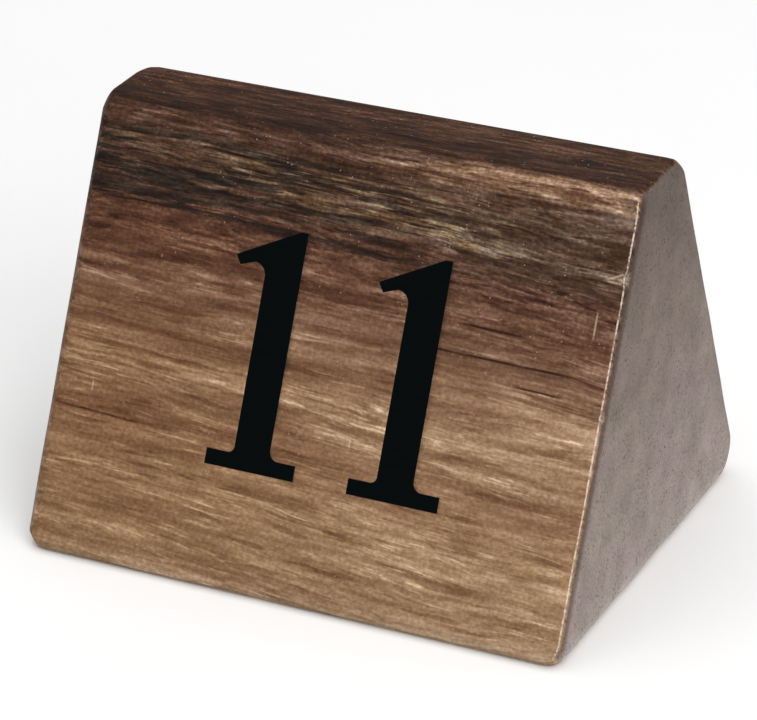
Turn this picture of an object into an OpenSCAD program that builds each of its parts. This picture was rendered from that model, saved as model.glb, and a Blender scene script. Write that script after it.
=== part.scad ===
// Table number block
// A solid hardwood block with a trapezoid section, like a ridge tent with its top planed flat.
// It stands on its widest face. The number 11 is let into both slopes as black enamel,
// so that it is read from either side of the table.
//
// X runs along the ridge, the front slope faces -Y, and Z is up from the table.
// All sizes are in millimetres.

/* [Block] */
// Length of the block along its ridge
block_w = 50; // [44:1:80]
// Depth of the base, from the front foot to the rear foot
block_d = 41.7; // [36:0.1:56]
// Height of the flat top above the table
block_h = 36.2; // [34:0.1:50]
// Depth of the flat top between the two slopes
ridge_d = 8.7; // [7:0.1:14]

/* [Sanded edges] */
// Radius along the front foot
front_foot_r = 1.0; // [1.0:0.1:3.0]
// Radius along the rear foot, which is sanded rounder
rear_foot_r = 2.9; // [1.6:0.1:3.5]
// Radius between the front slope and the flat top
front_ridge_r = 2.2; // [1.0:0.1:2.2]
// Radius between the rear slope and the flat top
rear_ridge_r = 2.8; // [1.0:0.1:3.0]
// Radius around the two end faces
end_r = 0.8; // [0.3:0.05:0.9]

/* [Number] */
// Height of a digit, measured along the slope
digit_h = 20.6; // [16:0.1:22]
// Distance from one stem to the next
digit_pitch = 13.2; // [10:0.1:16]
// How far the pair of stems sits right of the middle, as the reader sees it
pair_shift = 1.5; // [-2:0.1:2]
// Distance up the slope from the foot's sharp corner to the digits' base line
base_line = 10.8; // [8:0.1:12]
// Thickness of the enamel, which lies flush in a pocket of the same depth
enamel_t = 0.4; // [0.2:0.05:0.8]

/* [Digit shape] */
// Width of the upright stem
stem_w = 3.3; // [2.4:0.1:4]
// Width of the foot serif
serif_w = 8.3; // [6.5:0.1:9.5]
// Thickness of the foot serif
serif_t = 1.35; // [0.8:0.05:2]
// Radius between the serif and the left of the stem
serif_left_r = 0.55; // [0.3:0.05:1.2]
// Radius between the serif and the right of the stem
serif_right_r = 0.85; // [0.3:0.05:1.2]
// How far the flag reaches left of the stem
flag_reach = 2.9; // [2:0.1:3.5]
// How far the flag's tip lies below the top of the digit
flag_drop = 2.8; // [2:0.1:3.5]
// Height of the flag's blunt tip
flag_tip_t = 0.8; // [0.5:0.05:1.2]
// Radius between the flag and the stem
flag_r = 1.1; // [0.5:0.05:1.4]
// Width of the level top at the right of the digit
top_flat = 0.65; // [0.3:0.05:1.2]

/* [Hidden] */
$fn = 96;

wood_colour = [0.50, 0.36, 0.25];
enamel_colour = [0.03, 0.04, 0.05];

// How far a cutting tool stands clear of the surface it cuts
clear = 1;

// Steps to a full turn on the sanded edges
round_fn = 40;

// Angle of the two slopes above the table
slope = atan2(block_h, (block_d - ridge_d) / 2);

// The section's sharp corners in order, seen from the +X end, and the radius of each
corners = [[-block_d / 2, 0], [block_d / 2, 0], [ridge_d / 2, block_h], [-ridge_d / 2, block_h]];
radii = [front_foot_r, rear_foot_r, rear_ridge_r, front_ridge_r];
last = len(corners) - 1;

// Each digit's flag: its blunt tip leans in, and its underside rises towards the stem
flag_tip_lean = 0.5;
flag_rise = 0.45;

function unit(v) = v / norm(v);
function before(i) = corners[i == 0 ? last : i - 1];
function after(i) = corners[i == last ? 0 : i + 1];
function to_before(i) = unit(before(i) - corners[i]);
function to_after(i) = unit(after(i) - corners[i]);
function inside_angle(i) = acos(to_before(i) * to_after(i));

// Where corner i's arc starts and ends, and the arc's centre
function arc_run(i) = radii[i] / tan(inside_angle(i) / 2);
function arc_start(i) = corners[i] + to_before(i) * arc_run(i);
function arc_end(i) = corners[i] + to_after(i) * arc_run(i);
function arc_centre(i) =
    corners[i] + unit(to_before(i) + to_after(i)) * radii[i] / sin(inside_angle(i) / 2);

// The section with each corner cut off straight, from one end of its arc to the other
flats = [for (i = [0 : last]) each [arc_start(i), arc_end(i)]];

// A ring with a round rim of radius end_r, which stands in a corner of the section
module corner_ring(r) {
    rotate_extrude($fn = round_fn) {
        intersection() {
            translate([r - end_r, 0]) circle(end_r, $fn = round_fn);
            translate([0, -end_r]) square([r, 2 * end_r]);
        }
    }
}

// The block without its number: a skin stretched over the flats of the section
// and over a ring in each corner of both ends
module plain_block() {
    reach = block_w / 2 - end_r;
    rotate([90, 0, 90]) {
        hull() {
            translate([0, 0, -reach]) linear_extrude(2 * reach) polygon(flats);
            for (i = [0 : last], end = [-reach, reach]) {
                translate([arc_centre(i)[0], arc_centre(i)[1], end]) corner_ring(radii[i]);
            }
        }
    }
}

// Rounds an inner corner at the origin, on its upper right
module inner_round(r) {
    difference() {
        square(r);
        translate([r, r]) circle(r);
    }
}

// A serif figure one, with its base line on y = 0 and its stem centred on x = 0
module figure_one() {
    stem = stem_w / 2;
    flag_tip_y = digit_h - flag_drop;
    flag_root_y = flag_tip_y - flag_tip_t + flag_rise;
    polygon([
        [-serif_w / 2, 0],
        [serif_w / 2, 0],
        [serif_w / 2, serif_t],
        [stem, serif_t],
        [stem, digit_h],
        [stem - top_flat, digit_h],
        [-stem - flag_reach, flag_tip_y],
        [-stem - flag_reach + flag_tip_lean, flag_tip_y - flag_tip_t],
        [-stem - flag_r, flag_root_y],
        [-stem, flag_root_y],
        [-stem, serif_t],
        [-serif_w / 2, serif_t]
    ]);
    translate([stem, serif_t]) inner_round(serif_right_r);
    translate([-stem, serif_t]) mirror([1, 0]) inner_round(serif_left_r);
    translate([-stem, flag_root_y]) rotate(180) inner_round(flag_r);
}

// Puts a flat shape on the front slope: x along the block, y up the slope from the foot
module on_front_slope() {
    translate([0, -block_d / 2, 0]) rotate([slope, 0, 0]) children();
}

// The same on the rear slope, for a reader behind the block
module on_rear_slope() {
    rotate([0, 0, 180]) on_front_slope() children();
}

// One digit as a slab that reaches enamel_t into the wood and rise above it
// side is -1 for the left digit and 1 for the right one
module digit_slab(side, rise) {
    translate([pair_shift + side * digit_pitch / 2, base_line, -enamel_t])
        linear_extrude(enamel_t + rise) figure_one();
}

module wood_block() {
    color(wood_colour) {
        difference() {
            plain_block();
            for (side = [-1, 1]) {
                on_front_slope() digit_slab(side, clear);
                on_rear_slope() digit_slab(side, clear);
            }
        }
    }
}

module front_digit_left() {
    color(enamel_colour) on_front_slope() digit_slab(-1, 0);
}

module front_digit_right() {
    color(enamel_colour) on_front_slope() digit_slab(1, 0);
}

module rear_digit_left() {
    color(enamel_colour) on_rear_slope() digit_slab(-1, 0);
}

module rear_digit_right() {
    color(enamel_colour) on_rear_slope() digit_slab(1, 0);
}

wood_block();
front_digit_left();
front_digit_right();
rear_digit_left();
rear_digit_right();
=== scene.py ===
"""A table number block: a solid acacia wedge with black enamel figures let into both slopes."""

import math

import bpy
import numpy as np
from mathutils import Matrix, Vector, noise


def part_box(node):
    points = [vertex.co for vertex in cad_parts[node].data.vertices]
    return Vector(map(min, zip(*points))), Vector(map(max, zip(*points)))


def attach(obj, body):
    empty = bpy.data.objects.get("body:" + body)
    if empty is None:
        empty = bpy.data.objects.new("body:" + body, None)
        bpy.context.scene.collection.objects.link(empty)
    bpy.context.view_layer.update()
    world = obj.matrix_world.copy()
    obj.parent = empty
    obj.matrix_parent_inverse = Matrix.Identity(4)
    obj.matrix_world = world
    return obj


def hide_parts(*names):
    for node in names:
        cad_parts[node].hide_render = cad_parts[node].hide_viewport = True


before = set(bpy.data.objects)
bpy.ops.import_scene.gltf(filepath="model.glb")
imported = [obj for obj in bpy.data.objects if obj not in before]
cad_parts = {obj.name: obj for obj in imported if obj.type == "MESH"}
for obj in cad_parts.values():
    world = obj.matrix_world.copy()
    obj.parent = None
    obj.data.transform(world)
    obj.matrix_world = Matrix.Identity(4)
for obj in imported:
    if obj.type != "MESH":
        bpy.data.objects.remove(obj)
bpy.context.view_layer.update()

MM = 0.001

# The block, from its piece in model.glb, with the sharp section's two depths as part.scad draws it
LOW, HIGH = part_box("wood_block")
LENGTH = HIGH.x - LOW.x
HEIGHT = HIGH.z - LOW.z
FOOT_DEPTH = 41.7 * MM
RIDGE_DEPTH = 8.7 * MM

# Radii along the four long edges, in the order of the section's corners
FRONT_FOOT, REAR_FOOT, REAR_RIDGE, FRONT_RIDGE = range(4)
EDGE_RADII = {FRONT_FOOT: 1.0 * MM, REAR_FOOT: 2.9 * MM, REAR_RIDGE: 2.8 * MM, FRONT_RIDGE: 2.2 * MM}

# Radii round the two ends, for the base, the rear slope, the top and the front slope
LEFT_END_RADII = (1.2 * MM, 1.0 * MM, 1.0 * MM, 1.5 * MM)
RIGHT_END_RADII = (1.2 * MM, 0.7 * MM, 0.55 * MM, 0.42 * MM)

# How much the sandpaper took off each corner, left end then right end
CORNER_SANDING = {
    FRONT_FOOT: (0.5 * MM, 0.4 * MM),
    REAR_FOOT: (0.25 * MM, 0.1 * MM),
    REAR_RIDGE: (0.35 * MM, 0.18 * MM),
    FRONT_RIDGE: (0.2 * MM, 0.3 * MM),
}

# How far the wood's layers dip for each unit of length to the right
LAYER_DIP = 0.035

# The height (mm) at which the wood's colour ramps end
RAMP_HEIGHT = 40

# Wider bands in the wood: middle height and half height (mm), where along the block the band
# starts and where it is full (mm), and how much darker (below 0) or lighter it is
BANDS = (
    (6.4, 0.9, 2, 8, 0.2),
    (12.2, 0.55, -30, -6, -0.27),
    (18.3, 0.8, 2, -10, -0.28),
    (19.2, 0.4, 3, 7, -0.18),
    (23.2, 0.7, 2, -12, 0.2),
    (24.0, 0.8, -6, 1, -0.24),
    (25.9, 0.5, 4, -8, 0.15),
    (28.6, 0.5, -12, -17, -0.4),
    (32.2, 0.8, 12, 19, -0.42),
    (32.4, 0.6, -8, -14, 0.22),
    (34.1, 0.5, 7, 3, -0.5),
    (34.1, 0.7, -4, -9, 0.4),
)

# Strokes on the front slope: middle along the block and middle height (mm), angle (degrees),
# half length (mm)
VEINS = ((15, 22.3, -1, 9.0), (14, 24.6, -2, 3.5), (19, 20.6, -1, 2.5), (-20, 12.4, -2, 5.0))
SCRATCHES = ((22.9, 25.9, 90, 1.2), (-20.8, 13.9, 90, 0.5), (3.5, 13.7, 90, 0.5),
             (23.8, 29.7, 22, 1.0), (23.8, 29.3, -3, 0.8))

FIGURES = ("front_digit_left", "front_digit_right", "rear_digit_left", "rear_digit_right")


# ---------------------------------------------------------------------------------------------
# The block's shape
# ---------------------------------------------------------------------------------------------

def section_corners():
    """The sharp section in the plane of Y and Z, anticlockwise from the front foot."""
    foot, ridge = FOOT_DEPTH / 2, RIDGE_DEPTH / 2
    return [Vector((-foot, 0)), Vector((foot, 0)), Vector((ridge, HEIGHT)), Vector((-ridge, HEIGHT))]


def side_normals():
    """Outward normals of the base, the rear slope, the top and the front slope."""
    corners = section_corners()
    sides = [corners[(i + 1) % 4] - corners[i] for i in range(4)]
    return [Vector((side.y, -side.x)).normalized() for side in sides]


def corner_centre(index):
    """Centre of the round at one corner of the section."""
    before, after = side_normals()[index - 1], side_normals()[index]
    bisector = (before + after).normalized()
    return section_corners()[index] - bisector * (EDGE_RADII[index] / bisector.dot(after))


def section_outline(arc_steps=14, run_step=0.25 * MM):
    """Points and outward normals round the rounded section.

    The third result says which side each point is on: 0 to 3 on the flat sides, in between on a corner.
    """
    points, normals, sides = [], [], []
    flats = side_normals()
    for index in range(4):
        before, after = flats[index - 1], flats[index]
        centre, radius = corner_centre(index), EDGE_RADII[index]
        sweep = before.angle(after)
        for step in range(arc_steps + 1):
            share = step / arc_steps
            angle = sweep * share
            normal = Vector((
                before.x * math.cos(angle) - before.y * math.sin(angle),
                before.x * math.sin(angle) + before.y * math.cos(angle),
            ))
            points.append(centre + normal * radius)
            normals.append(normal)
            sides.append(index - 1 + share)
        start = points[-1]
        following = (index + 1) % 4
        end = corner_centre(following) + after * EDGE_RADII[following]
        steps = max(2, round((end - start).length / run_step))
        for step in range(1, steps):
            points.append(start.lerp(end, step / steps))
            normals.append(after)
            sides.append(index)
    return np.array(points), np.array(normals), np.array(sides)


def room_for_rounding(points, margin=0.96):
    """The largest end radius that each point of the outline has room for near a tight corner."""
    room = np.full(len(points), 1.0)
    flats = side_normals()
    for index, corner in enumerate(section_corners()):
        half_angle = (math.pi - flats[index - 1].angle(flats[index])) / 2
        distance = np.linalg.norm(points - np.array(corner), axis=1)
        tangent = EDGE_RADII[index] / math.tan(half_angle)
        nearby = np.maximum(distance, tangent) * math.tan(half_angle)
        room = np.minimum(room, margin * nearby)
    return room


def end_radii(points, sides, values, seed, wave=0.045, unevenness=0.16):
    """The end's edge radius at each point of the outline, blended round the corners and uneven."""
    base, rear, top, front = values
    radii = np.interp(sides, (-1, 0, 1, 2, 3), (front, base, rear, top, front))
    wobble = [noise.noise(Vector((index * wave, seed, 0))) for index in range(len(sides))]
    return np.minimum(radii * (1 + unevenness * np.array(wobble)), room_for_rounding(points))


def block_rings(outline, stations=84, end_steps=8):
    """Rings of points from the middle of the left end, along the block, to that of the right end.

    Also says how far each point has turned on to an end face, and whether it is on the front slope's
    side of the right half.
    """
    points, normals, sides = outline

    # Rings on an end face, as shares of the way from its middle to its edge
    shrink = (0.06, 0.2, 0.35, 0.5, 0.62, 0.73, 0.82, 0.88, 0.92, 0.95, 0.97, 0.985)
    half = LENGTH / 2
    middle = np.array((0.0, HEIGHT * 0.4))
    rings, end_turn = [], []

    def ring(x, across, turn):
        rings.append(np.column_stack((x * np.ones(len(points)), across)))
        end_turn.append(np.full(len(points), turn))

    left = end_radii(points, sides, LEFT_END_RADII, 3.0)
    right = end_radii(points, sides, RIGHT_END_RADII, 8.0)
    angles = [math.pi / 2 * step / end_steps for step in range(end_steps + 1)]
    for share in shrink:
        ring(-half, middle + (points - normals * left[:, None] - middle) * share, 1.0)
    for angle in angles:
        across = points - normals * (left * (1 - math.sin(angle)))[:, None]
        ring(-half + left * (1 - math.cos(angle)), across, 1 - angle / (math.pi / 2))
    for station in range(1, stations):
        share = station / stations
        ring((-half + left) * (1 - share) + (half - right) * share, points, 0.0)
    for angle in reversed(angles):
        across = points - normals * (right * (1 - math.sin(angle)))[:, None]
        ring(half - right * (1 - math.cos(angle)), across, 1 - angle / (math.pi / 2))
    for share in reversed(shrink):
        ring(half, middle + (points - normals * right[:, None] - middle) * share, 1.0)
    rings = np.array(rings)
    on_front = np.interp(sides, (-1, -0.5, 2.5, 3), (1, 0, 0, 1))
    front_edge = np.where(rings[..., 0] > 0, on_front, 0)
    return rings, {"end_turn": np.array(end_turn), "front_edge": front_edge}


def soft_cap(height, reach):
    """height, but no more than 0, with the change spread over reach."""
    overlap = np.clip(reach - np.abs(height), 0, None) / reach
    return np.minimum(height, 0) - overlap ** 2 * reach / 4


def sand_corners(rings, reach=6 * MM):
    """Rounds the eight corners: what stands out past a plane across each one is pressed down softly."""
    flats = side_normals()
    for index, depths in CORNER_SANDING.items():
        across = (flats[index - 1] + flats[index]).normalized()
        for sign, depth in zip((-1, 1), depths):
            outward = np.array(Vector((sign, across.x, across.y)).normalized())
            end = rings[..., 0] * sign > LENGTH / 2 - reach
            height = rings @ outward
            over = height - (height[end].max() - depth)
            change = soft_cap(over, depth * 1.3) - over
            rings += np.where(end, change, 0)[..., None] * outward


def chip_edge(rings, along, length, depth, seed, grain_size=0.22 * MM):
    """Breaks a chip out of the right end's front edge, `along` metres up the slope from the foot.

    Returns how fresh the wood is at each point, 1 where the surface is newly broken.
    """
    foot, flat = section_corners()[FRONT_FOOT], side_normals()[3]
    up = Vector((flat.y, -flat.x))
    place = np.array((LENGTH / 2, *(foot + up * along)))
    inward = -np.array(Vector((1, flat.x, flat.y)).normalized())
    lengthwise = (rings - place) @ np.array((0, *up))
    away = rings - place - lengthwise[..., None] * np.array((0, *up))
    sideways = np.linalg.norm(away, axis=-1) / (2.6 * depth)
    distance = np.sqrt((lengthwise / length) ** 2 + sideways ** 2)
    for row, column in np.argwhere(distance < 1):
        rough = noise.noise(Vector(rings[row, column]) / grain_size + Vector((seed, 0, 0)))
        share = (1 - distance[row, column] ** 2) * (1 + 0.5 * rough)
        rings[row, column] += inward * depth * share
    return np.clip(1.4 - 1.4 * distance, 0, 1)


def ring_mesh(name, rings):
    """Joins the rings with quads and closes each end with a fan."""
    count, size = rings.shape[:2]
    vertices = rings.reshape(-1, 3).tolist()
    faces = []
    for ring in range(count - 1):
        for index in range(size):
            following = (index + 1) % size
            a, b = ring * size + index, ring * size + following
            faces.append((a, a + size, b + size, b))
    for ring, turned in ((0, False), (count - 1, True)):
        centre = len(vertices)
        vertices.append(rings[ring].mean(axis=0).tolist())
        for index in range(size):
            a, b = ring * size + index, ring * size + (index + 1) % size
            faces.append((b, a, centre) if turned else (a, b, centre))
    mesh = bpy.data.meshes.new(name)
    mesh.from_pydata(vertices, [], faces)
    mesh.validate()
    return mesh


def add_attribute(mesh, name, values):
    """Stores one number per vertex. Each end fan's centre takes the number of the ring beside it."""
    attribute = mesh.attributes.new(name, "FLOAT", "POINT")
    padded = np.append(values.reshape(-1), (values[0, 0], values[-1, 0])).astype(np.float32)
    attribute.data.foreach_set("value", padded)


def pocket_cutter(node, skin=0.1 * MM, stand_out=0.3 * MM):
    """A copy of one figure that stands out past its slope, so that it cuts an open pocket."""
    cutter = bpy.data.objects.new("cutter_" + node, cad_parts[node].data.copy())
    bpy.context.scene.collection.objects.link(cutter)
    slope = side_normals()[3] if node.startswith("front") else side_normals()[1]
    outward = Vector((0, slope.x, slope.y))
    face = outward.dot(Vector((0, -FOOT_DEPTH / 2, 0)))
    if node.startswith("rear"):
        face = outward.dot(Vector((0, FOOT_DEPTH / 2, 0)))
    for vertex in cutter.data.vertices:
        if vertex.co.dot(outward) > face - skin:
            vertex.co += outward * stand_out
    return cutter


def cut_pockets(block):
    """Cuts the figures' pockets out of the block, and makes the result its mesh."""
    cutters = [pocket_cutter(node) for node in FIGURES]
    for cutter in cutters:
        pocket = block.modifiers.new(cutter.name, "BOOLEAN")
        pocket.operation = "DIFFERENCE"
        pocket.solver = "EXACT"
        pocket.object = cutter
    bpy.context.view_layer.update()
    cut = block.evaluated_get(bpy.context.evaluated_depsgraph_get())
    mesh = bpy.data.meshes.new_from_object(cut)
    block.modifiers.clear()
    block.data = mesh
    for cutter in cutters:
        bpy.data.objects.remove(cutter)


def make_block():
    """The wooden block as a fine mesh with hand-sanded edges, chips and pockets."""
    rings, attributes = block_rings(section_outline())
    sand_corners(rings)
    small_chip = chip_edge(rings, 21.2 * MM, 0.5 * MM, 0.18 * MM, 5.0)
    large_chip = chip_edge(rings, 32.6 * MM, 0.75 * MM, 0.28 * MM, 9.0)
    attributes["chip"] = np.maximum(small_chip, large_chip * 0.5)
    mesh = ring_mesh("acacia_block", rings)
    for name, values in attributes.items():
        add_attribute(mesh, name, values)
    block = bpy.data.objects.new("acacia_block", mesh)
    bpy.context.scene.collection.objects.link(block)
    cut_pockets(block)
    block.data.polygons.foreach_set("use_smooth", [True] * len(block.data.polygons))
    block.data.set_sharp_from_angle(angle=math.radians(40))
    return block


# ---------------------------------------------------------------------------------------------
# Materials
# ---------------------------------------------------------------------------------------------

class Shader:
    """A material's node tree, with one short method for each kind of node that the recipes use."""

    def __init__(self, name):
        self.material = bpy.data.materials.new(name)
        self.material.use_nodes = True
        self.tree = self.material.node_tree
        self.surface = self.tree.nodes["Principled BSDF"]

    def node(self, kind, **settings):
        made = self.tree.nodes.new("ShaderNode" + kind)
        for key, value in settings.items():
            setattr(made, key, value)
        return made

    def feed(self, socket, value):
        """Links value to the socket if it is another node's output, and otherwise sets it."""
        if isinstance(value, bpy.types.NodeSocket):
            self.tree.links.new(value, socket)
        elif isinstance(socket.default_value, float):
            socket.default_value = value
        else:
            width = len(socket.default_value)
            socket.default_value = (tuple(value) + (1.0,))[:width]

    def math(self, operation, *values, clamp=False):
        made = self.node("Math", operation=operation, use_clamp=clamp)
        for socket, value in zip(made.inputs, values):
            self.feed(socket, value)
        return made.outputs[0]

    def add(self, a, b):
        return self.math("ADD", a, b)

    def multiply(self, a, b):
        return self.math("MULTIPLY", a, b)

    def swing(self, value, strength):
        """A value from 0 to 1 as a change down or up, by as much as half the strength."""
        return self.multiply(self.add(value, -0.5), strength)

    def from_to(self, share, low, high):
        """low where share is 0, and high where it is 1."""
        return self.math("MULTIPLY_ADD", share, high - low, low)

    def vector(self, operation, a, b):
        made = self.node("VectorMath", operation=operation)
        self.feed(made.inputs[0], a)
        self.feed(made.inputs["Scale"] if operation == "SCALE" else made.inputs[1], b)
        return made.outputs[0]

    def join(self, x, y, z):
        made = self.node("CombineXYZ")
        for socket, value in zip(made.inputs, (x, y, z)):
            self.feed(socket, value)
        return made.outputs[0]

    def split(self, vector):
        made = self.node("SeparateXYZ")
        self.feed(made.inputs[0], vector)
        return made.outputs

    def attribute(self, name):
        return self.node("Attribute", attribute_name=name).outputs["Fac"]

    def noise(self, place, size, detail=2.0, roughness=0.5, offset=0.0):
        """Smooth noise from 0 to 1, with features of about `size` (x, y, z) in millimetres."""
        scale = tuple(1 / length for length in size)
        place = self.vector("MULTIPLY", place, scale)
        if offset:
            place = self.vector("ADD", place, (offset, offset * 0.7, -offset))
        made = self.node("TexNoise")
        self.feed(made.inputs["Vector"], place)
        self.feed(made.inputs["Scale"], 1.0)
        self.feed(made.inputs["Detail"], detail)
        self.feed(made.inputs["Roughness"], roughness)
        return made.outputs[0]

    def cells(self, place, size, offset=0.0):
        """Distance to the nearest of scattered points that lie about `size` millimetres apart."""
        scale = tuple(1 / length for length in size)
        place = self.vector("MULTIPLY", place, scale)
        if offset:
            place = self.vector("ADD", place, (offset, offset * 0.7, -offset))
        made = self.node("TexVoronoi")
        self.feed(made.inputs["Vector"], place)
        self.feed(made.inputs["Scale"], 1.0)
        return made.outputs["Distance"], made.outputs["Color"]

    def between(self, value, low, high):
        """0 below low and 1 above high, or the other way round where low is the greater."""
        made = self.node("MapRange", interpolation_type="SMOOTHSTEP")
        self.feed(made.inputs["Value"], value)
        flip = low > high
        made.inputs["From Min"].default_value = min(low, high)
        made.inputs["From Max"].default_value = max(low, high)
        made.inputs["To Min"].default_value = 1.0 if flip else 0.0
        made.inputs["To Max"].default_value = 0.0 if flip else 1.0
        return made.outputs[0]

    def band(self, value, low, high, soft):
        """1 between low and high, falling to 0 over soft outside them."""
        rise = self.between(value, low - soft, low)
        return self.multiply(rise, self.between(value, high + soft, high))

    def stroke(self, x, z, stroke, width):
        """1 on a short straight line in the plane of x and z, which fades at its sides and its ends."""
        middle_x, middle_z, angle, half_length = stroke
        cosine, sine = math.cos(math.radians(angle)), math.sin(math.radians(angle))
        x, z = self.add(x, -middle_x), self.add(z, -middle_z)
        along = self.add(self.multiply(x, cosine), self.multiply(z, sine))
        across = self.add(self.multiply(z, cosine), self.multiply(x, -sine))
        line = self.band(across, -width / 4, width / 4, width / 2)
        return self.multiply(line, self.band(along, -half_length / 2, half_length / 2, half_length / 2))

    def blend(self, factor, a, b):
        """Colour a where factor is 0, and colour b where it is 1."""
        made = self.node("Mix", data_type="RGBA", blend_type="MIX")
        self.feed(made.inputs["Factor"], factor)
        self.feed(made.inputs[6], a)
        self.feed(made.inputs[7], b)
        return made.outputs[2]

    def tint(self, where, colour, factors):
        """The colour, with its red, green and blue multiplied by three factors where `where` is 1."""
        return self.blend(where, colour, self.vector("MULTIPLY", colour, factors))

    def ramp(self, value, stops):
        """A colour ramp. stops are (place, colour) with the colours as linear red, green, blue."""
        made = self.node("ValToRGB")
        elements = made.color_ramp.elements
        while len(elements) < len(stops):
            elements.new(0.5)
        for element, (place, colour) in zip(elements, stops):
            element.position = place
            element.color = (*colour, 1.0)
        self.feed(made.inputs[0], value)
        return made.outputs[0]

    def bump(self, height, depth):
        """Relief of `depth` metres for a height that goes from 0 to 1."""
        made = self.node("Bump")
        made.inputs["Distance"].default_value = depth
        self.feed(made.inputs["Height"], height)
        return made.outputs[0]


def rgb(red, green, blue):
    """A display colour, 0 to 255, as linear light."""
    return tuple(
        c / 12.92 if c <= 0.04045 else ((c + 0.055) / 1.055) ** 2.4
        for c in (red / 255, green / 255, blue / 255)
    )


class Acacia(Shader):
    """Oiled acacia, whose layers lie nearly flat, dark at the ridge and golden at the foot.

    Its lengths are in millimetres, in the block's own frame. A tone says how much lighter (above 0)
    or darker (below 0) the grain is than its layer's own colour.
    """

    def __init__(self):
        super().__init__("acacia")
        self.place = self.vector("SCALE", self.node("TexCoord").outputs["Object"], 1 / MM)
        self.x, self.y, self.z = self.split(self.place)
        self.front = self.between(self.y, 0, -1)
        self.turn = self.attribute("end_turn")
        self.set_layers()
        self.set_fibres()

    def set_layers(self):
        """The growth layers: nearly level, dipping to the right, and drawn out along the block."""
        swell = self.noise(self.place, (50, 11, 11), detail=2)
        ripple = self.noise(self.place, (18, 3.5, 3.5), detail=2)
        curl = self.noise(self.place, (5, 2, 2), detail=2, offset=40.0)
        warp = self.add(self.swing(swell, 4.0), self.swing(ripple, 1.0))
        warp = self.add(warp, self.swing(curl, 0.5))
        self.layer = self.add(self.add(self.z, warp), self.multiply(self.x, LAYER_DIP))
        self.grain = self.join(self.x, self.y, self.layer)
        self.dark_wood = self.between(self.layer, 21, 29)
        self.rippled_height = self.add(self.z, self.multiply(ripple, 0.8))

    def set_fibres(self):
        """Streaks, fibres and flecks along the layers, coarse to fine, then grit and vessels."""
        streak = self.noise(self.grain, (30, 1.2, 1.2), detail=3, roughness=0.6, offset=3.1)
        fibre = self.noise(self.grain, (11, 0.6, 0.6), detail=4, roughness=0.62, offset=7.7)
        fleck = self.noise(self.grain, (3.2, 0.48, 0.48), detail=3, roughness=0.6, offset=61.0)
        self.streak = self.between(streak, 0.3, 0.7)
        self.fibre = self.between(fibre, 0.3, 0.7)
        self.fleck = self.between(fleck, 0.3, 0.7)
        self.grit = self.noise(self.place, (0.34, 0.28, 0.28), detail=2, offset=1.3)
        vessel_distance, _ = self.cells(self.grain, (14, 0.6, 0.6), offset=2.3)
        self.vessel = self.between(vessel_distance, 0.14, 0.06)

    def layer_colour(self):
        """Each layer's own colour, with the near-black and olive streaks under the ridge, and a painted
        golden highlight just under it.
        """
        body = self.ramp(self.multiply(self.layer, 1 / RAMP_HEIGHT), [
            (0.00, rgb(138, 108, 80)),
            (0.08, rgb(136, 105, 76)),
            (0.20, rgb(136, 104, 75)),
            (0.31, rgb(127, 93, 67)),
            (0.36, rgb(134, 102, 75)),
            (0.41, rgb(146, 114, 85)),
            (0.47, rgb(127, 94, 69)),
            (0.55, rgb(102, 72, 53)),
            (0.62, rgb(97, 66, 48)),
            (0.69, rgb(86, 56, 41)),
            (0.75, rgb(76, 53, 39)),
            (0.82, rgb(80, 57, 42)),
            (0.88, rgb(74, 49, 36)),
            (0.93, rgb(62, 40, 29)),
        ])

        # Painted highlight: a golden band just under the ridge, from the middle to the right end, where
        # the light catches the rounding
        painted_highlight_noise = self.noise(self.grain, (14, 0.7, 0.7), detail=4, roughness=0.65, offset=31.0)
        painted_highlight = self.multiply(self.band(self.z, 34.5, 35.7, 0.4), self.between(self.x, -3, 12))
        painted_highlight = self.multiply(painted_highlight, self.between(painted_highlight_noise, 0.34, 0.52))
        body = self.blend(self.multiply(painted_highlight, 0.8), body, rgb(130, 97, 72))

        # Near-black heartwood streaks, strongest at the left end, with one fuller streak among them
        dark_noise = self.noise(self.grain, (14, 0.75, 0.75), detail=4, roughness=0.62, offset=11.9)
        dark = self.multiply(self.band(self.layer, 27.6, 33.2, 0.8), self.between(self.x, 36, -14))
        dark = self.multiply(dark, self.between(dark_noise, 0.45, 0.51))
        heart = self.multiply(self.band(self.layer, 28.3, 29.1, 0.5), self.between(self.x, 3, -12))
        heart = self.multiply(heart, self.between(dark_noise, 0.34, 0.44))
        dark = self.math("MAXIMUM", dark, self.multiply(heart, 0.8))
        body = self.blend(self.multiply(dark, 0.88), body, rgb(25, 17, 12))

        # Olive wood between them
        olive_noise = self.noise(self.grain, (7, 0.4, 0.4), detail=4, roughness=0.65, offset=52.0)
        olive = self.multiply(self.band(self.layer, 30, 32.5, 1.0), self.band(self.x, -8, 12, 6))
        olive = self.multiply(olive, self.between(olive_noise, 0.5, 0.64))
        return self.blend(self.multiply(olive, 0.6), body, rgb(134, 108, 78))

    def tone(self):
        """The grain's tone. The dark wood near the ridge has the stronger contrast."""
        streak_strength = self.from_to(self.between(self.layer, 10, 16), 0.45, 0.95)
        tone = self.add(self.swing(self.streak, streak_strength), self.swing(self.fibre, 0.55))
        tone = self.add(tone, self.swing(self.fleck, self.from_to(self.dark_wood, 0.4, 1.5)))
        tone = self.add(tone, self.swing(self.grit, self.from_to(self.dark_wood, 1.4, 2.3)))

        # Dark spindles, and short dashes in the darker wood
        spindle = self.noise(self.grain, (6.5, 0.75, 0.75), detail=2, offset=71.0)
        tone = self.add(tone, self.multiply(self.between(spindle, 0.56, 0.67), -0.5))
        dash = self.noise(self.grain, (2.2, 0.32, 0.32), detail=2, offset=83.0)
        dash = self.multiply(self.between(dash, 0.6, 0.67), self.between(self.layer, 20, 28))
        tone = self.add(tone, self.multiply(dash, -1.0))

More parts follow.
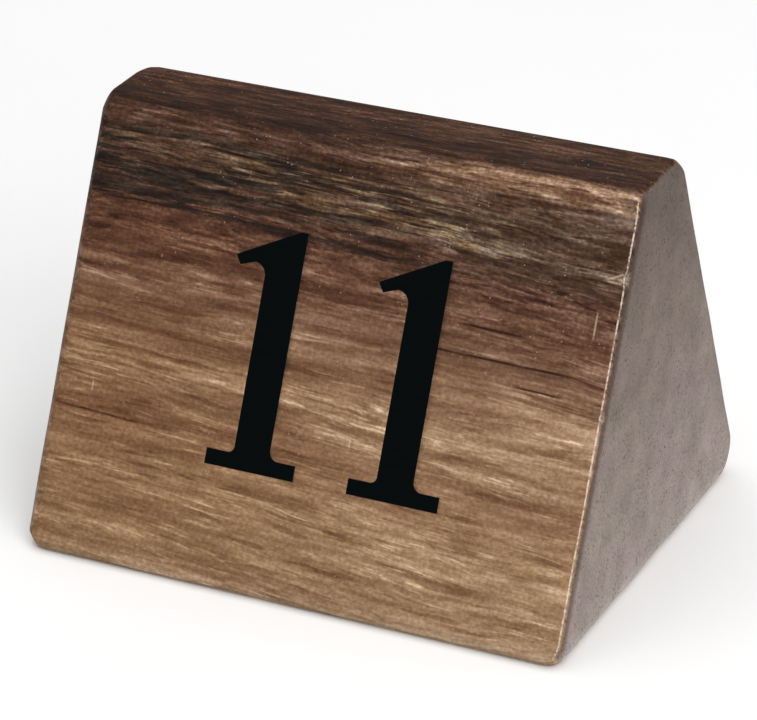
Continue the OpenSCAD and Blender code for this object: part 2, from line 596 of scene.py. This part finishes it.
        # The wider bands, and thin veins on the front slope
        for height, half, start, full, change in BANDS:
            level = self.add(self.rippled_height, -0.4)
            band = self.band(level, height - half, height + half, 0.5)
            band = self.multiply(band, self.between(self.x, start, full))
            band = self.multiply(band, self.between(self.fibre, -0.2, 0.7))
            tone = self.add(tone, self.multiply(band, change))
        for vein in VEINS:
            mark = self.stroke(self.x, self.rippled_height, vein, 0.16)
            mark = self.multiply(mark, self.between(self.fleck, -0.2, 0.5))
            tone = self.add(tone, self.multiply(self.multiply(mark, self.front), -1.9))

        # Light fibres that run in groups, a little across the layers
        slant = self.join(self.x, self.y, self.add(self.layer, self.multiply(self.x, 0.05)))
        light = self.noise(slant, (5, 0.25, 0.25), detail=2, offset=15.0)
        group = self.noise(self.grain, (7, 1.8, 1.8), detail=1, offset=19.0)
        light = self.multiply(self.between(light, 0.55, 0.65), self.between(group, 0.4, 0.6))
        return self.add(tone, self.multiply(light, self.from_to(self.dark_wood, 0.6, 0.7)))

    def slope_colour(self):
        """The colour of the slopes, the ridge and the foot, before the pale specks and the edge marks.
        """
        # A darker tone is also redder, and a lighter one paler
        tone = self.tone()
        shares = [self.math("EXPONENT", self.multiply(tone, share)) for share in (0.78, 1.0, 1.18)]
        colour = self.vector("MULTIPLY", self.layer_colour(), self.join(*shares))

        # Painted shading: the left of the block is darker and redder than the right, standing in for
        # light that falls from the right
        colour = self.blend(
            self.between(self.x, -18, 18),
            self.vector("MULTIPLY", colour, (0.88, 0.82, 0.77)),
            self.vector("MULTIPLY", colour, (1.13, 1.18, 1.23)),
        )

        # The ridge is redder, and darker towards the front and the left
        ridge = self.between(self.z, 35.7, 36.1)
        ridge_front = self.multiply(ridge, self.between(self.y, 2, -2))
        colour = self.tint(ridge_front, colour, (0.66, 0.6, 0.56))
        left_corner = self.multiply(self.between(self.x, -8, -22), self.between(self.y, 0, -3.5))
        colour = self.tint(self.multiply(ridge, left_corner), colour, (0.6, 0.6, 0.6))
        colour = self.tint(ridge, colour, (1.06, 0.96, 0.82))

        # The foot is a little lighter and greyer
        colour = self.tint(self.between(self.z, 2.4, 0.4), colour, (1.24, 1.38, 1.55))

        # Vessels, cut as short dark dashes
        return self.blend(self.multiply(self.vessel, 0.4), colour, rgb(40, 26, 20))

    def specked(self, colour):
        """The colour with small pale specks, and fine scratches on the front slope."""
        speck_distance, speck_colour = self.cells(self.place, (0.4, 0.4, 0.4), offset=9.1)
        share = self.noise(self.place, (3, 2, 2), detail=2, offset=93.0)
        share = self.add(share, self.multiply(self.x, 0.002))
        chosen = self.between(self.multiply(self.split(speck_colour)[0], share), 0.41, 0.5)
        speck = self.multiply(self.between(speck_distance, 0.22, 0.06), chosen)
        for scratch in SCRATCHES:
            mark = self.stroke(self.x, self.z, scratch, 0.15)
            mark = self.multiply(mark, self.between(self.grit, 0.1, 0.5))
            speck = self.math("MAXIMUM", speck, self.multiply(mark, self.front))
        return self.blend(self.multiply(speck, 0.5), colour, rgb(196, 170, 146))

    def end_share(self):
        """1 on the end faces, with a border that follows the flecks."""
        ragged = self.swing(self.fleck, 0.3)
        return self.between(self.add(self.turn, ragged), 0.3, 0.8)

    def end_grain_and_painted_sheen(self):
        """End grain: greyer and even, with fine dark pores in clusters. The grey is partly the end
        grain's own colour and partly a painted sheen, the pale floor's reflection painted in.
        """
        colour = self.ramp(self.multiply(self.z, 1 / RAMP_HEIGHT), [
            (0.0, rgb(190, 183, 178)),
            (0.04, rgb(158, 146, 140)),
            (0.1, rgb(149, 136, 130)),
            (0.5, rgb(126, 113, 106)),
            (0.9, rgb(97, 85, 78)),
        ])
        cloud = self.noise(self.place, (3.5, 3.5, 3.5), detail=4, roughness=0.6)
        tone = self.add(self.swing(cloud, 0.8), self.swing(self.grit, 0.6))
        colour = self.vector("SCALE", colour, self.math("EXPONENT", tone))
        hue = self.noise(self.place, (6, 6, 6), detail=2, offset=27.0)
        colour = self.blend(
            self.between(hue, 0.35, 0.65),
            self.vector("MULTIPLY", colour, (0.985, 1.01, 0.98)),
            self.vector("MULTIPLY", colour, (1.01, 0.985, 1.02)),
        )
        pit = self.noise(self.place, (0.22, 0.22, 0.22), detail=2, offset=44.0)
        crowd = self.noise(self.place, (1.6, 1.6, 1.6), detail=3, offset=33.0)
        pore = self.multiply(self.between(pit, 0.55, 0.7), self.between(crowd, 0.3, 0.62))
        return self.blend(self.multiply(pore, 0.75), colour, rgb(58, 46, 40))

    def marked_edge(self, colour):
        """The colour along the right end's front edge: a dark strip, a pale line, pale chips and a
        paler corner.
        """
        # A dark strip of oiled end grain beside the edge, by its distance from the front slope
        slope = side_normals()[3]
        inside = self.add(
            self.add(self.multiply(self.y, -slope.x), self.multiply(self.z, -slope.y)),
            -slope.x * FOOT_DEPTH / 2 / MM,
        )
        oiled = self.multiply(self.between(inside, 1.5, 0.4), self.between(self.turn, 0.35, 0.7))
        oiled = self.multiply(oiled, self.between(self.x, 0, 1))
        colour = self.tint(oiled, colour, (0.5, 0.43, 0.36))

        # The broken pale line on the edge itself, the chips in pale fresh wood with a painted glint,
        # and a paler corner
        edge_noise = self.noise(self.place, (0.3, 0.3, 0.4), detail=3, roughness=0.7, offset=8.8)
        on_edge = self.between(self.attribute("front_edge"), 0.3, 0.7)
        line = self.multiply(self.band(self.turn, 0.14, 0.26, 0.08), on_edge)
        line = self.multiply(line, self.from_to(self.between(edge_noise, 0.4, 0.58), 0.2, 1.0))
        # Painted glint: the chips' near-white is partly fresh wood and partly a painted highlight
        fresh = self.multiply(self.attribute("chip"), self.between(edge_noise, 0.3, 0.7))
        corner = self.multiply(self.between(self.x, 20.5, 25), self.band(self.z, 33.7, 35.0, 0.8))
        corner = self.multiply(self.multiply(corner, self.front), self.between(self.grit, 0.2, 0.6))
        corner = self.multiply(corner, self.between(self.turn, 0.4, 0.1))
        pale = self.math("MAXIMUM", line, fresh)
        pale = self.math("MAXIMUM", pale, self.multiply(corner, 0.16))
        return self.blend(self.multiply(pale, 0.86), colour, rgb(218, 200, 182))


def wood_material():
    """Acacia with long grain on the slopes and end grain on the two ends."""
    wood = Acacia()
    end = wood.end_share()
    colour = wood.specked(wood.slope_colour())
    colour = wood.marked_edge(wood.blend(end, colour, wood.end_grain_and_painted_sheen()))
    rough = wood.add(0.56, wood.multiply(wood.fibre, 0.2))
    rough = wood.math("ADD", rough, wood.multiply(end, 0.16), clamp=True)
    relief = wood.add(wood.multiply(wood.fibre, 0.6), wood.multiply(wood.grit, 0.35))
    relief = wood.add(relief, wood.multiply(wood.vessel, -0.5))
    wood.feed(wood.surface.inputs["Base Color"], colour)
    wood.feed(wood.surface.inputs["Roughness"], rough)
    wood.feed(wood.surface.inputs["Normal"], wood.bump(relief, 0.03 * MM))
    wood.surface.inputs["Specular IOR Level"].default_value = 0.15
    return wood.material


def enamel_material():
    """Black enamel level with the wood, with the grain faintly showing through."""
    enamel = Shader("black_enamel")
    place = enamel.vector("SCALE", enamel.node("TexCoord").outputs["Object"], 1 / MM)
    fibre = enamel.noise(place, (5, 0.25, 0.25), detail=3, roughness=0.6)
    grit = enamel.noise(place, (0.12, 0.12, 0.12), detail=1, offset=2.0)
    colour = enamel.blend(fibre, rgb(2, 5, 6), rgb(6, 10, 11))
    enamel.feed(enamel.surface.inputs["Base Color"], colour)
    enamel.feed(enamel.surface.inputs["Roughness"], enamel.add(0.4, enamel.multiply(grit, 0.15)))
    relief = enamel.add(enamel.multiply(fibre, 0.7), enamel.multiply(grit, 0.3))
    enamel.feed(enamel.surface.inputs["Normal"], enamel.bump(relief, 0.01 * MM))
    enamel.surface.inputs["Specular IOR Level"].default_value = 0.03
    return enamel.material


def floor_material():
    """Pale matt card."""
    card = Shader("pale_floor")
    place = card.vector("SCALE", card.node("TexCoord").outputs["Object"], 1 / MM)
    mottle = card.noise(place, (30, 30, 30), detail=3)
    colour = card.blend(mottle, rgb(246, 246, 246), rgb(250, 250, 250))
    card.feed(card.surface.inputs["Base Color"], colour)
    card.feed(card.surface.inputs["Roughness"], 0.9)
    return card.material


def dress(piece, material):
    piece.data.materials.clear()
    piece.data.materials.append(material)


# ---------------------------------------------------------------------------------------------
# Floor, light and camera
# ---------------------------------------------------------------------------------------------

def make_floor(half_width=3.0):
    mesh = bpy.data.meshes.new("floor")
    corners = [(-half_width, -half_width, 0), (half_width, -half_width, 0),
               (half_width, half_width, 0), (-half_width, half_width, 0)]
    mesh.from_pydata(corners, [], [(0, 1, 2, 3)])
    floor = bpy.data.objects.new("floor", mesh)
    floor.location.z = LOW.z
    bpy.context.scene.collection.objects.link(floor)
    dress(floor, floor_material())


def around(azimuth, elevation, distance, centre):
    """A point at that azimuth (0 is the front, 90 the right) and elevation, in degrees."""
    a, e = math.radians(azimuth), math.radians(elevation)
    back = Vector((math.sin(a) * math.cos(e), -math.cos(a) * math.cos(e), math.sin(e)))
    return centre + back * distance


def aim(thing, target):
    thing.rotation_euler = (target - thing.location).to_track_quat("-Z", "Y").to_euler()


def add_softbox(name, azimuth, elevation, size, power, distance):
    centre = Vector((0, 0, HEIGHT / 2))
    light = bpy.data.lights.new(name, "AREA")
    light.shape = "SQUARE"
    light.size = size
    light.energy = power
    lamp = bpy.data.objects.new(name, light)
    lamp.location = around(azimuth, elevation, distance, centre)
    aim(lamp, centre)
    bpy.context.scene.collection.objects.link(lamp)


def light_scene():
    add_softbox("key_softbox", azimuth=50, elevation=30, size=0.5, power=3.3, distance=0.8)
    add_softbox("overhead_softbox", azimuth=0, elevation=88, size=1.6, power=10.5, distance=1.2)
    world = bpy.data.worlds.new("studio")
    world.use_nodes = True
    world.node_tree.nodes["Background"].inputs["Color"].default_value = (1, 1, 1, 1)
    world.node_tree.nodes["Background"].inputs["Strength"].default_value = 0.42
    bpy.context.scene.world = world
    bpy.context.scene.view_settings.view_transform = "Standard"


def place_camera():
    """A long lens, looking down on the front and the right end."""
    camera = bpy.data.cameras.new("camera")
    camera.sensor_width = 36
    camera.lens = 189.6
    camera.clip_start = 0.01
    camera.clip_end = 10
    stand = bpy.data.objects.new("camera", camera)
    target = Vector((0.3 * MM, -2.2 * MM, 15.2 * MM))
    stand.location = around(azimuth=25.22, elevation=25.84, distance=341 * MM, centre=target)
    aim(stand, target)
    bpy.context.scene.collection.objects.link(stand)
    bpy.context.scene.camera = stand


place_camera()
light_scene()
make_floor()

acacia_block = make_block()
dress(acacia_block, wood_material())
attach(acacia_block, "root")
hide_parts("wood_block")

black_enamel = enamel_material()
for figure in FIGURES:
    dress(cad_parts[figure], black_enamel)
